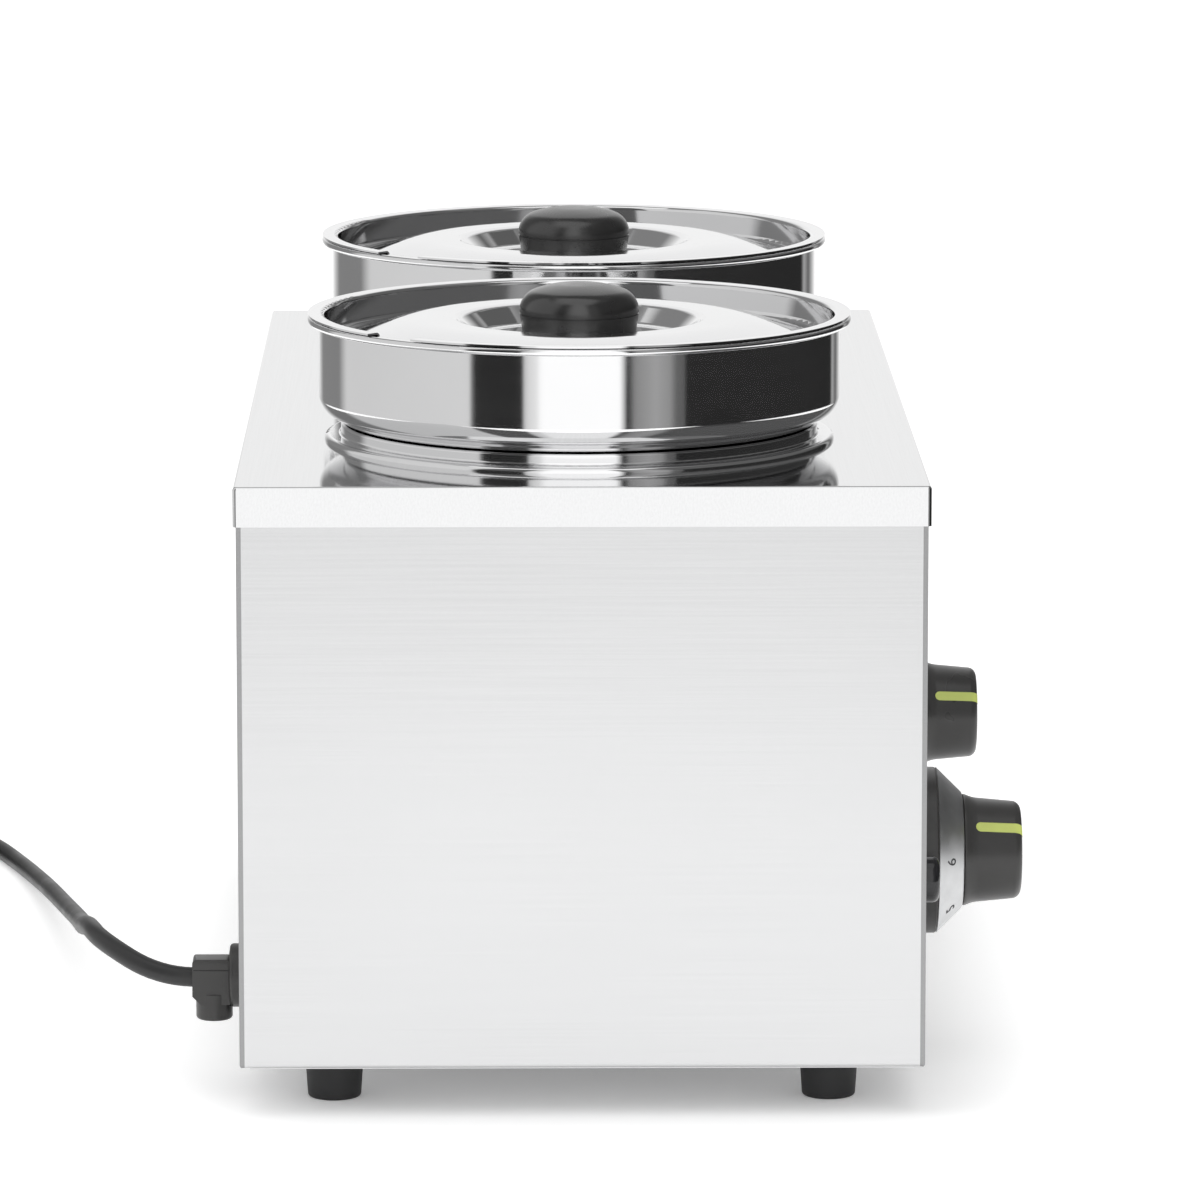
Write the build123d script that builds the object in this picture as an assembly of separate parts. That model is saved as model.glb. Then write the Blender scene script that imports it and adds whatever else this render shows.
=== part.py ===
"""Twin-pot bain marie: two lidded pots hang in heated wells, in a folded sheet-steel body.

Lengths are in millimetres. X runs along the body, the control knobs face -Y, the
mains lead leaves at +Y, and the feet stand on Z = 0. Left is -X, right is +X.
"""
from build123d import *
import os
from math import cos, radians, sin, tan

# Body
body_length = 565.0
body_depth = 285.0
body_height = 244.5        # lower edge of the panels to the top of the deck
foot_clearance = 21.0      # floor to the lower edge of the panels
sheet = 1.0                # panels, deck and base plate
bend = 1.5                 # outer radius of a folded edge
panel_flange = 14.0
flange_relief = 16.0       # what a flange stops short of a corner
deck_overhang = 1.2
deck_skirt = 16.7
base_inset = 4.0

# Pots, and the wells that they hang in
pot_pitch = 282.5
drawn_sheet = 0.8
pot_radius = 98.5
pot_depth = 150.0          # below the deck's top
pot_rise = 53.3            # pot's rim above the deck's top
belly_step = 12.8
rim_flange = 4.9
rim_roll = 3.2
shoulder_slope = 30.0
well_gap = 1.4             # round the pot
well_depth = 165.0
collar_rise = 7.4
hem = 0.2                  # bend radius inside the collar's folded lip
bead_width = 7.1
bead_rise = 2.7
lift_gap = 0.3             # between pieces that only rest on each other

# Lids
lid_gap = 1.0
lid_crest_rise = 51.8
lid_crest_radius = 73.0
lid_moat_rise = 42.3
lid_moat_width = 4.7
dish_rise = 43.6
dish_radius = 44.0
dish_wall = 8.5
notch_angle = 136.0
notch_width = 25.0
notch_depth = 24.0
lid_knob_base = 24.0
lid_knob_radius = 25.5
lid_knob_height = 23.7
lid_knob_skirt = 9.8

# Controls
knob_pitch = 332.4
knob_height = 69.1         # above the panels' lower edge
knob_reach = 46.3
knob_tip_radius = 20.6
knob_root_radius = 23.4
knob_root_reach = 21.4
dial_radius = 34.9
dial_reach = 10.0
dial_top_radius = 24.35
dial_top_reach = 21.1
dial_sheet = 0.8
pointer_width = 4.4
pointer_reach = 27.5
pointer_angle = 305.0      # clockwise from the top, seen from the front
shaft_radius = 3.0
run_gap = 0.05
hub_radius = 7.0
switch_from_knob = 63.8
switch_cap_radius = 9.8
switch_cap_reach = 8.1
rocker_tilt = 9.0

# Heating
element_radius = 60.0
element_rod = 3.25
clamp_radius = 70.0
limiter_radius = 8.0
limiter_height = 7.0
bulb_radius = 3.0
bulb_length = 70.0

# Feet
foot_radius = 12.5
foot_tip_radius = 11.15
foot_side_inset = 38.5
foot_end_inset = 42.0

# Mains lead
gland_reach = 21.7
gland_inset = 45.0
gland_height = 30.3        # cord's axis above the panels' lower edge
gland_plate = 5.6
gland_tall = 28.5
gland_wide = 30.0
cord_diameter = 8.4
coil_radius = 46.0
coil_turns_wide = 2
coil_turns_high = 2
plug_radius = 18.5
pin_radius = 2.4
pin_length = 19.0
pin_pitch = 19.0

# Places worked out from the sizes
panel_foot = foot_clearance
deck_top = foot_clearance + body_height
deck_under = deck_top - sheet
body_mid = (knob_reach - gland_reach) / 2
front = body_mid - body_depth / 2
rear = body_mid + body_depth / 2
left = -body_length / 2
sides = {"left": -1, "right": 1}
well_radius = pot_radius + well_gap
well_outer = well_radius + drawn_sheet
belly_radius = pot_radius + belly_step
rim_radius = belly_radius + rim_flange
well_floor = deck_top - well_depth
well_under = well_floor - drawn_sheet
control_z = panel_foot + knob_height
gland_x = left + gland_inset
gland_z = panel_foot + gland_height
floor_cord = cord_diameter / 2


def pot_x(side):
    return sides[side] * pot_pitch / 2


def knob_x(side):
    return sides[side] * knob_pitch / 2


def switch_x(side):
    return sides[side] * (knob_pitch / 2 + switch_from_knob)


def front_face(x, z):
    """A plane on the front panel, with its own Z pointing out at the user"""
    return Plane(origin=(x, front, z), x_dir=(1, 0, 0), z_dir=(0, -1, 0))


def sheet_section(points, bends, thickness, side=Side.LEFT):
    """Bent sheet seen on edge: one of its faces as a line, given its thickness"""
    line = FilletPolyline(*points, radius=bends)
    return Face(line.wire().offset_2d(thickness, kind=Kind.ARC, side=side))


def spun_sheet(points, bends, thickness=drawn_sheet):
    """A drawn sheet piece from its underside's line, which runs outwards from the axis"""
    return revolve(Plane.XZ * sheet_section(points, bends, thickness), Axis.Z)


def turned(points, rounds=None):
    """A solid of revolution from (radius, height) points, with a rounding for each point"""
    rounds = rounds or [0] * len(points)
    outline = FilletPolyline(*points, radius=rounds, close=True)
    return revolve(Plane.XZ * Face(outline.wire()), Axis.Z)


def rod(points, radius, bends):
    """A round rod or wire along straight runs joined by arcs"""
    path = FilletPolyline(*points, radius=bends)
    start = Plane(origin=path @ 0, z_dir=path % 0)
    return sweep(start * Circle(radius), path=path)


def drill(x, y, z, radius, length):
    """A tool that opens a hole along Z, centred on its height"""
    return Pos(x, y, z) * Cylinder(radius, length)


# Body panels

def channel(wall, run):
    """A panel with its two opposite edges folded inwards; the wall lies on local X = 0"""
    line = [(panel_flange, 0), (0, 0), (0, wall), (panel_flange, wall)]
    section = sheet_section(line, [bend, bend], sheet, Side.RIGHT)
    return extrude(section, amount=run / 2, both=True)


def corner_cuts(inward, across, wall, run):
    """Reliefs that stop a channel's folded edges short of its ends"""
    cuts = []
    for end in (-1, 1):
        for height in (0, wall):
            block = Box(panel_flange * 2, bend * 2.5, flange_relief * 2)
            cuts.append(inward * Pos(sheet + panel_flange, height, end * run / 2) * block)
    return cuts


panel_height = body_height - sheet


def long_panel(sign):
    """The front (-1) or rear (+1) panel, without its openings"""
    face_y = front if sign < 0 else rear
    place = Plane(origin=(0, face_y, panel_foot), x_dir=(0, -sign, 0), z_dir=(-sign, 0, 0))
    panel = place * channel(panel_height, body_length)
    return panel - corner_cuts(place, None, panel_height, body_length)


def front_panel():
    panel = long_panel(-1)
    for side in sides:
        panel -= front_face(knob_x(side), control_z) * Cylinder(bushing_radius + 0.1, 4 * sheet)
        panel -= front_face(switch_x(side), control_z) * Cylinder(barrel_radius + 0.1, 4 * sheet)
        for offset in (-screw_pitch / 2, screw_pitch / 2):
            hole = front_face(knob_x(side) + offset, control_z)
            panel -= hole * Cylinder(small_screw + 0.1, 4 * sheet)
    return panel


def rear_panel():
    hole = Plane(origin=(gland_x, rear, gland_z), z_dir=(0, 1, 0))
    return long_panel(1) - hole * Cylinder(spigot_radius + 0.1, 4 * sheet)


def end_panel(side):
    """An end panel, whose upright flanges lie behind the front and rear panels"""
    depth = body_depth - 2 * sheet
    place = Plane(origin=(left, body_mid, panel_foot), x_dir=(1, 0, 0), z_dir=(0, -1, 0))
    panel = place * channel(panel_height, depth)
    panel -= corner_cuts(place, None, panel_height, depth)
    upright = Plane(
        origin=(left, body_mid - depth / 2, panel_foot + panel_height / 2),
        x_dir=(1, 0, 0),
        z_dir=(0, 0, 1),
    )
    tall = panel_height - 2 * (bend + sheet)
    folded = upright * channel(depth, tall)
    keep = Pos(left + panel_flange / 2, body_mid, deck_top / 2)
    panel += folded & (keep * Box(panel_flange, body_depth, deck_top))
    return panel if side == "left" else mirror(panel, about=Plane.YZ)


def deck():
    """The top plate: a shallow tray turned over, with a hole for each well"""
    outer_x = body_length + 2 * deck_overhang
    outer_y = body_depth + 2 * deck_overhang
    outer = Pos(0, body_mid, deck_top - deck_skirt / 2) * Box(outer_x, outer_y, deck_skirt)
    inner = Box(outer_x - 2 * sheet, outer_y - 2 * sheet, deck_skirt)
    inner = Pos(0, body_mid, deck_under - deck_skirt / 2) * inner
    outer = fillet(outer.edges().group_by(Axis.Z)[-1] + outer.edges().filter_by(Axis.Z), bend)
    inner_bend = bend - sheet
    inner = fillet(inner.edges().group_by(Axis.Z)[-1] + inner.edges().filter_by(Axis.Z), inner_bend)
    plate = outer - inner
    for side in sides:
        plate -= drill(pot_x(side), body_mid, deck_top, well_outer + lift_gap, 4 * sheet)
    return plate


def foot_places():
    for side in sides:
        for row in (-1, 1):
            x = sides[side] * (body_length / 2 - foot_end_inset)
            yield x, body_mid + row * (body_depth / 2 - foot_side_inset)


def base_screw_places():
    """Screws through the base plate into the panels' lower flanges"""
    reach_y = body_depth / 2 - panel_flange * 0.6
    for x in (-body_length / 4, body_length / 4):
        for row in (-1, 1):
            yield x, body_mid + row * reach_y


def base_plate():
    """The bottom plate under the panels' flanges, with rows of air slots"""
    size_x = body_length - 2 * base_inset
    size_y = body_depth - 2 * base_inset
    plate = Pos(0, body_mid, panel_foot - sheet / 2) * Box(size_x, size_y, sheet)
    for x, y in foot_places():
        plate -= drill(x, y, panel_foot, foot_screw + 0.2, 4 * sheet)
    for x, y in base_screw_places():
        plate -= drill(x, y, panel_foot, small_screw + 0.2, 4 * sheet)
    slot = Pos(0, 0, 0) * extrude(SlotOverall(slot_length, slot_width), 2 * sheet, both=True)
    for side in sides:
        for row in range(slot_rows):
            y = body_mid + (row - (slot_rows - 1) / 2) * slot_pitch
            plate -= Pos(pot_x(side), y, panel_foot) * slot
    return plate


slot_length = 60.0
slot_width = 4.0
slot_pitch = 14.0
slot_rows = 5


# Wells and heating

def well(side):
    """A drawn tank whose rim turns over into a collar and ends in a bead on the deck"""
    lip = deck_top + collar_rise - drawn_sheet
    ledge = deck_top + bead_rise - drawn_sheet
    inner_leg = well_outer + 2 * hem
    bead_edge = inner_leg + bead_width
    line = [
        (0, well_under),
        (well_outer, well_under),
        (well_outer, lip),
        (inner_leg, lip),
        (inner_leg, ledge),
        (bead_edge, ledge),
        (bead_edge, deck_top),
    ]
    tank = spun_sheet(line, [12, hem * 0.95, hem * 0.95, 1.8, 1.6])
    stud = Pos(0, 0, well_under - stud_length / 2) * Cylinder(stud_radius, stud_length)
    return Pos(pot_x(side), body_mid, 0) * (tank + stud)


stud_radius = 3.0
stud_length = 18.0
element_z = well_under - element_rod
clamp_top = element_z - element_rod
element_gap = 15.0         # half the ring's open angle, in degrees
leg_turn = 10.0
leg_drop = 24.0
notch_reach = 20.0


def heating_element(side):
    """A tubular ring under the well, its two ends turned down as legs"""
    start_angle = -90 + element_gap
    ring = CenterArc((0, 0, element_z), element_radius, start_angle, 360 - 2 * element_gap)
    ends = []
    for end in (0, 1):
        point = ring @ end
        along = (ring % end) * (1 if end else -1)
        turn = TangentArc(point, point + along * leg_turn - Vector(0, 0, leg_turn), tangent=along)
        foot = turn @ 1
        ends.append([turn, Line(foot, foot - Vector(0, 0, leg_drop))])
    path = Wire([ring] + ends[0] + ends[1])
    profile = Plane(origin=path @ 0, z_dir=path % 0) * Circle(element_rod)
    return Pos(pot_x(side), body_mid, 0) * sweep(profile, path=path)


def heater_clamp(side):
    """The plate that presses the ring up; it leaves room for the legs and the limiter"""
    plate = Cylinder(clamp_radius, clamp_sheet) - Cylinder(stud_radius + 0.3, 3 * clamp_sheet)
    notch = Pos(0, -clamp_radius, 0) * Box(4 * notch_reach - 24, 2 * notch_reach + 8, 3 * clamp_sheet)
    plate = plate - notch - Pos(0, limiter_offset, 0) * Cylinder(limiter_radius + 3, 3 * clamp_sheet)
    return Pos(pot_x(side), body_mid, clamp_top - clamp_sheet / 2) * plate


clamp_sheet = 1.5
limiter_offset = 30.0
nut_flats = 10.0
nut_height = 5.0


def hex_nut(flats, height, bore):
    """A hexagon nut standing up from Z = 0, its corners taken off on top"""
    body = extrude(RegularPolygon(flats / 2, 6, major_radius=False), height)
    dome = turned([(0, 0), (flats * 0.58, 0), (flats * 0.58, height * 0.8), (flats * 0.5, height), (0, height)])
    return (body & dome) - Cylinder(bore, 4 * height)


def heater_nuts():
    """Both nuts under the clamp plates"""
    nut = mirror(hex_nut(nut_flats, nut_height, stud_radius + 0.02), about=Plane.XY)
    return [Pos(pot_x(side), body_mid, clamp_top - clamp_sheet) * nut for side in sides]


def dry_run_limiter(side):
    """A bimetal disc switch on the well's floor, with two blade terminals"""
    case = Pos(0, 0, -limiter_height / 2) * Cylinder(limiter_radius, limiter_height)
    case = fillet(case.edges().group_by(Axis.Z)[0], 1.0)
    for x in (-4, 4):
        case += Pos(x, 0, -limiter_height - 4) * Box(0.8, 6.3, 8)
    return Pos(pot_x(side), body_mid + limiter_offset, well_under) * case


# Pots and lids

def pot(side):
    """A drawn pot: body, shoulder, wide belly and a rim rolled outwards"""
    slope = tan(radians(shoulder_slope))
    half_turn = tan(radians((90 - shoulder_slope) / 2))
    reach = drawn_sheet + hem + lift_gap
    seat_radius = well_outer + hem - reach * sin(radians(shoulder_slope))
    seat = deck_top + collar_rise - drawn_sheet + reach * cos(radians(shoulder_slope))
    throat = seat - (seat_radius - pot_radius) * slope
    shoulder = throat + belly_step * slope
    run = belly_step / cos(radians(shoulder_slope))
    belly_bend = min(20.0, 0.78 * run / half_turn)
    throat_bend = min(4.0, 0.2 * run / half_turn)
    underside = deck_top + pot_rise - drawn_sheet
    roll = rim_roll - 2 * drawn_sheet
    edge = rim_radius - drawn_sheet
    line = [
        (0, deck_top - pot_depth),
        (pot_radius, deck_top - pot_depth),
        (pot_radius, throat),
        (belly_radius, shoulder),
        (belly_radius, underside),
        (edge, underside),
        (edge, underside - roll),
        (edge - 2.2, underside - roll),
    ]
    bends = [10, throat_bend, belly_bend, 1.0, roll * 0.47, roll * 0.47]
    return Pos(pot_x(side), body_mid, 0) * spun_sheet(line, bends)


def lid(side):
    """A sunk lid: flange on the pot's rim, moat, domed crest and a dish for the knob"""
    flange = deck_top + pot_rise + lift_gap
    skirt = belly_radius - drawn_sheet - lid_gap
    moat = deck_top + lid_moat_rise - drawn_sheet
    crest = deck_top + lid_crest_rise - drawn_sheet
    dish = deck_top + dish_rise - drawn_sheet
    line = [
        (0, dish),
        (dish_radius, dish),
        (dish_radius + dish_wall, crest),
        (lid_crest_radius, crest),
        (skirt - lid_moat_width, moat),
        (skirt, moat),
        (skirt, flange),
        (rim_radius - lift_gap, flange),
    ]
    shape = spun_sheet(line, [5, 4, 50, 4, 3, 1.2])
    shape -= drill(0, 0, dish, lid_screw + 0.25, 8 * drawn_sheet)
    notch_end = rim_radius - notch_depth
    cutter = Pos((notch_end + rim_radius * 1.1) / 2, 0, deck_top + pot_rise - 10) * Box(
        rim_radius * 1.1 - notch_end, notch_width, 40
    )
    inner_corners = cutter.edges().filter_by(Axis.Z).group_by(Axis.X)[0]
    cutter = fillet(inner_corners, notch_width * 0.3)
    shape -= Rot(0, 0, notch_angle) * cutter
    return Pos(pot_x(side), body_mid, 0) * shape


lid_screw = 2.5


def lid_knob(side):
    """A moulded knob: waisted skirt, seam groove and a crowned top"""
    seat = deck_top + dish_rise
    seam = seat + lid_knob_skirt
    top = seat + lid_knob_height
    crown = top - 1.4
    body = turned(
        [
            (0, seat),
            (lid_knob_base, seat),
            (lid_knob_radius, seam),
            (lid_knob_radius - 0.7, seam + 0.1),
            (lid_knob_radius - 0.7, seam + 0.8),
            (lid_knob_radius, seam + 0.9),
            (lid_knob_radius, crown),
            (lid_knob_radius * 0.45, top),
            (0, top),
        ],
        [0, 1.2, 0, 0, 0, 0, 9.5, 30, 0],
    )
    body -= Pos(0, 0, seat + lid_screw_depth / 2) * Cylinder(lid_screw + run_gap, lid_screw_depth)
    return Pos(pot_x(side), body_mid, 0) * body


lid_screw_depth = 14.0


def lid_knob_screw(side):
    """The screw that holds the knob, with a washer against the lid's underside"""
    under = deck_top + dish_rise - drawn_sheet
    shank = turned(
        [
            (0, under - 4.0),
            (4.2, under - 4.0),
            (4.2, under - 1.0),
            (6.5, under - 1.0),
            (6.5, under),
            (lid_screw, under),
            (lid_screw, under + lid_screw_depth - 1.5),
            (0, under + lid_screw_depth - 1.5),
        ],
        [0, 1.6, 0, 0, 0, 0, 0, 0],
    )
    slot = Pos(0, 0, under - 4.0) * Box(12, 1.0, 2.0)
    return Pos(pot_x(side), body_mid, 0) * (shank - slot)


# Thermostats, dials and knobs

bushing_radius = 5.5
screw_pitch = 28.0
small_screw = 2.0
shaft_inside = 12.0
shaft_tip = 36.0
body_wide = 42.0
body_tall = 34.0
body_deep = 27.0


def thermostat_body(side):
    """The thermostat's case behind the panel, its bushing through it, bored for the shaft"""
    case = Pos(0, 0, -sheet - body_deep / 2) * Box(body_wide, body_tall, body_deep)
    case = fillet(case.edges().filter_by(Axis.Z), 3)
    bushing = Pos(0, 0, (2 - sheet) / 2 - 0.5) * Cylinder(bushing_radius, 2 + sheet + 1)
    bore = Pos(0, 0, 10 - shaft_inside - 1) * Cylinder(shaft_radius + run_gap, 20 + 2)
    case = case + bushing - bore
    for x in (-12, 0, 12):
        case += Pos(x, -8, -sheet - body_deep - 4) * Box(6.3, 0.8, 8)
    for x in (-screw_pitch / 2, screw_pitch / 2):
        case -= Pos(x, 0, -sheet) * Cylinder(small_screw + 0.02, 16)
    return front_face(knob_x(side), control_z) * case


def thermostat_screws():
    """The four screws that hold the thermostats to the front panel"""
    screw = turned(
        [(0, -8), (small_screw, -8), (small_screw, 0), (3.5, 0), (3.5, 1.6), (2.0, 2.4), (0, 2.4)]
    )
    screw -= Pos(0, 0, 2.4) * Box(8, 0.8, 1.6)
    return [
        front_face(knob_x(side) + offset, control_z) * screw
        for side in sides
        for offset in (-screw_pitch / 2, screw_pitch / 2)
    ]


def thermostat_shaft(side):
    """The turning shaft, with a flat where the knob grips it"""
    length = shaft_tip + shaft_inside - 0.5
    shaft = Pos(0, 0, length / 2 - shaft_inside + 0.5) * Cylinder(shaft_radius, length)
    flat = Pos(0, shaft_radius + 0.5, shaft_tip - 6) * Box(8, 3, 12)
    shaft = shaft - flat
    spin = Rot(0, 0, -pointer_angle)
    return front_face(knob_x(side), control_z) * spin * shaft


def capillary_bulb(side):
    """The sensing bulb against the well's wall and its capillary to the thermostat"""
    x = pot_x(side)
    y = body_mid - well_outer - bulb_radius - 0.1
    foot = deck_top - 140.0
    bulb = Pos(x, y, foot + bulb_length / 2) * Cylinder(bulb_radius, bulb_length)
    bulb = fillet(bulb.edges(), 1.2)
    case_x = knob_x(side)
    case_y = front + sheet + body_deep / 2
    case_top = control_z + body_tall / 2
    low = case_top + 7
    line = [(x, y, foot + 0.5), (x, y, low), (case_x, case_y, low), (case_x, case_y, case_top)]
    return [bulb + rod(line, 0.9, [4, 4])]


def dial_bezel(side):
    """The moulded ring behind the knob: upright rim, cone and a hollow for the screws"""
    bore = hub_radius + lift_gap
    rim = dial_radius + 0.7
    under_rim = dial_reach - dial_sheet * 0.5
    under_top = dial_top_reach - dial_sheet
    ring = turned(
        [
            (bore, 0),
            (rim, 0),
            (rim, under_rim),
            (dial_radius - 0.7, under_rim),
            (dial_top_radius - 0.35, under_top),
            (bore, under_top),
        ],
        [0, 0, 0.6, 0, 0, 0],
    )
    hollow = turned(
        [(bore + 2, 0), (rim - 2, 0), (rim - 2, 6.5), (dial_top_radius - 3, 17), (bore + 2, 17)],
        [0, 0, 2, 2, 0],
    )
    return front_face(knob_x(side), control_z) * (ring - hollow)


def dial_plate(side):
    """The silver dial: a thin pressed cone with a flat rim round the knob"""
    line = [
        (dial_radius, dial_reach - dial_sheet * 0.5),
        (dial_top_radius, dial_top_reach - dial_sheet),
        (hub_radius + 2, dial_top_reach - dial_sheet),
    ]
    section = sheet_section(line, [1.0], dial_sheet, Side.RIGHT)
    return front_face(knob_x(side), control_z) * revolve(Plane.XZ * section, Axis.Z)


knob_step_reach = 25.0
knob_step_radius = 22.7


def grip_form(inset):
    """The knob's outer form, taken in by an inset"""
    return turned(
        [
            (0, knob_root_reach),
            (knob_root_radius - inset, knob_root_reach),
            (knob_root_radius - inset, knob_step_reach - 0.6),
            (knob_step_radius - inset, knob_step_reach),
            (knob_tip_radius - inset, knob_reach - inset),
            (0, knob_reach - inset),
        ],
        [0, 0.6, 0.3, 0.3, 4.0 - inset, 0],
    )


pointer_inlay = 1.2


def pointer_slot():
    """The strip's room: across the grip's side and its face, towards the top"""
    reach = knob_reach - pointer_reach + 5
    inner = knob_tip_radius * 0.25
    block = Box(pointer_width, 30, reach)
    return Pos(0, inner + 15, pointer_reach + reach / 2) * block


def control_knob(side):
    """The grip, hollow behind, with a hub on the shaft and a bed for the pointer"""
    knob = grip_form(0)
    pocket_top = knob_reach - 6
    pocket = turned(
        [
            (hub_radius, knob_root_reach),
            (knob_root_radius - 3, knob_root_reach),
            (knob_tip_radius - 3, pocket_top),
            (hub_radius, pocket_top),
        ],
        [0, 0, 3, 0],
    )
    hub_foot = knob_root_reach - 9
    hub = Pos(0, 0, hub_foot + (knob_root_reach - hub_foot) / 2 + 0.5)
    knob = knob - pocket + hub * Cylinder(hub_radius, knob_root_reach - hub_foot + 1)
    bore = Pos(0, 0, (shaft_tip + hub_foot) / 2) * Cylinder(shaft_radius, shaft_tip - hub_foot)
    bore -= Pos(0, shaft_radius + 0.5, shaft_tip - 6) * Box(8, 3, 12)
    knob = knob - bore - (pointer_slot() - grip_form(pointer_inlay))
    return front_face(knob_x(side), control_z) * Rot(0, 0, -pointer_angle) * knob


def pointer_insert(side):
    """The coloured strip let into the grip"""
    strip = (grip_form(0) - grip_form(pointer_inlay)) & pointer_slot()
    return front_face(knob_x(side), control_z) * Rot(0, 0, -pointer_angle) * strip


# Switches

barrel_radius = 9.9
barrel_depth = 20.0
switch_rim = 11.2
switch_rim_reach = 1.2
rocker_half_wide = 4.5
rocker_half_tall = 6.0
pocket_depth = 5.5
trunnion_radius = 1.2
cap_wall = 0.9


def switch_housing(side):
    """The switch's barrel and front ring, with the rocker's pocket and blade terminals"""
    front_ring = Pos(0, 0, switch_rim_reach / 2) * Cylinder(switch_rim, switch_rim_reach)
    barrel = Pos(0, 0, -barrel_depth / 2) * Cylinder(barrel_radius, barrel_depth)
    pocket_top = switch_rim_reach + pocket_depth
    pocket = Box(2 * rocker_half_wide + 0.4, 2 * rocker_half_tall + 1.4, pocket_top)
    pocket = Pos(0, 0, switch_rim_reach - pocket_top / 2) * pocket
    pin_hole = Rot(0, 90, 0) * Cylinder(trunnion_radius + run_gap, 2 * rocker_half_wide + 5)
    shape = front_ring + barrel - pocket - Pos(0, 0, -trunnion_radius) * pin_hole
    for y in (-5, 0, 5):
        shape += Pos(0, y, -barrel_depth - 4) * Box(6.3, 0.8, 8)
    return front_face(switch_x(side), control_z) * shape


def switch_rocker(side):
    """The rocker, pressed in at its lower half: off"""
    tall = rocker_half_tall
    outline = [(-tall, -1.4), (0, -2.8), (tall, -1.4), (tall, 3.0), (0, 1.6), (-tall, 3.0)]
    section = Plane.YZ * Face(FilletPolyline(*outline, radius=0.4, close=True).wire())
    body = extrude(section, rocker_half_wide, both=True)
    pin = Rot(0, 90, 0) * Cylinder(trunnion_radius, 2 * rocker_half_wide + 4)
    body = body + Pos(0, 0, -trunnion_radius) * pin
    tilt = Pos(0, 0, -trunnion_radius) * Rot(rocker_tilt, 0, 0) * Pos(0, 0, trunnion_radius)
    return front_face(switch_x(side), control_z) * tilt * body


def switch_cap(side):
    """The clear splash cap over the rocker, with a flange on the front ring"""
    foot = switch_rim_reach
    cap = turned(
        [
            (0, switch_cap_reach),
            (switch_cap_radius, switch_cap_reach),
            (switch_cap_radius, foot + cap_wall),
            (switch_rim, foot + cap_wall),
            (switch_rim, foot),
            (switch_cap_radius - cap_wall, foot),
            (switch_cap_radius - cap_wall, switch_cap_reach - cap_wall),
            (0, switch_cap_reach - cap_wall),
        ],
        [0, 3.0, 0.3, 0.3, 0, 0, 2.1, 0],
    )
    return front_face(switch_x(side), control_z) * cap


# Feet and fasteners

foot_screw = 2.5
foot_recess = 5.5
foot_recess_depth = 9.0


def foot(x, y):
    """A rubber foot, wider at the top, with a deep recess for its screw"""
    tall = panel_foot - sheet
    shape = turned(
        [
            (foot_screw + 0.1, tall),
            (foot_radius, tall),
            (foot_tip_radius, 0),
            (foot_recess, 0),
            (foot_recess, foot_recess_depth),
            (foot_screw + 0.1, foot_recess_depth),
        ],
        [0, 1.0, 1.5, 0, 0, 0],
    )
    return Pos(x, y, 0) * shape


def foot_screws():
    """A screw with its nut for each foot"""
    solids = []
    for x, y in foot_places():
        head = turned(
            [
                (0, foot_recess_depth - 3.2),
                (4.2, foot_recess_depth - 3.2),
                (4.2, foot_recess_depth),
                (foot_screw, foot_recess_depth),
                (foot_screw, panel_foot + 7),
                (0, panel_foot + 7),
            ],
            [0, 1.2, 0, 0, 0, 0],
        )
        nut = hex_nut(8, 4, foot_screw + 0.02)
        solids += [Pos(x, y, 0) * head, Pos(x, y, panel_foot) * nut]
    return solids


def base_screws():
    """Screws through the base plate into the panels' lower flanges"""
    screw = turned([(0, -3.2), (3.4, -3.2), (3.8, -sheet), (small_screw, -sheet), (small_screw, 0), (0, 0)])
    return [Pos(x, y, panel_foot) * screw for x, y in base_screw_places()]


# Mains entry, wiring and lead

spigot_radius = 8.5
spigot_depth = 7.0
block_wide = 22.0
block_top = 9.5
block_foot = 10.2
cap_radius = 6.6
cap_foot = 19.5
terminal_size = (44.0, 18.0, 16.0)
terminal_x = gland_x + 62.0


def rear_face():
    """A plane on the rear panel at the gland, with its own Z pointing outwards"""
    return Plane(origin=(gland_x, rear, gland_z), x_dir=(-1, 0, 0), z_dir=(0, 1, 0))


def gland_flange():
    """The gland's plate on the panel and its spigot through it, bored for the lead"""
    plate = extrude(RectangleRounded(gland_wide, gland_tall, 3.0), gland_plate)
    plate = fillet(plate.edges().group_by(Axis.Z)[-1], 0.8)
    spigot = Pos(0, 0, (gland_plate - spigot_depth) / 2)
    spigot = spigot * Cylinder(spigot_radius, gland_plate + spigot_depth)
    nut = Pos(0, 0, -sheet) * mirror(hex_nut(24, 4, 5), about=Plane.XY)
    bore = Cylinder(floor_cord + 0.1, 60)
    return rear_face() * (plate + spigot + nut - bore)


def clamp_block():
    """The block that grips the lead, its lower outer edge bevelled and its two halves parted"""
    deep = gland_reach - gland_plate
    tall = block_top + block_foot
    block = Box(block_wide, tall, deep)
    lower = block.edges().filter_by(Axis.X).group_by(Axis.Z)[-1].group_by(Axis.Y)[0]
    block = chamfer(lower, 3.5)
    block = fillet(block.edges().filter_by(Axis.Z), 1.5)
    block = Pos(0, (block_top - block_foot) / 2, gland_plate + deep / 2) * block
    band = Box(block_wide * 2, 0.6, deep * 4) - Box(block_wide - 1.0, 2, deep * 8)
    band += Pos(0, 0, gland_reach) * Box(block_wide * 2, 0.6, 1.0)
    bore = Cylinder(floor_cord + 0.1, 80)
    return rear_face() * (block - Pos(0, 1.6 + floor_cord, 0) * band - bore)


def clamp_screw():
    """The moulded screw that closes the block from below"""
    screw = Plane(origin=(gland_x, rear + gland_plate + 9.0, gland_z - block_foot), z_dir=(0, 0, -1))
    tall = cap_foot - block_foot
    body = turned([(0, 0), (cap_radius, 0), (cap_radius, tall), (0, tall)], [0, 0, 1.0, 0])
    body -= Pos(0, 0, tall) * Box(1.4, 2 * cap_radius + 2, 3)
    return screw * body


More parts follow.
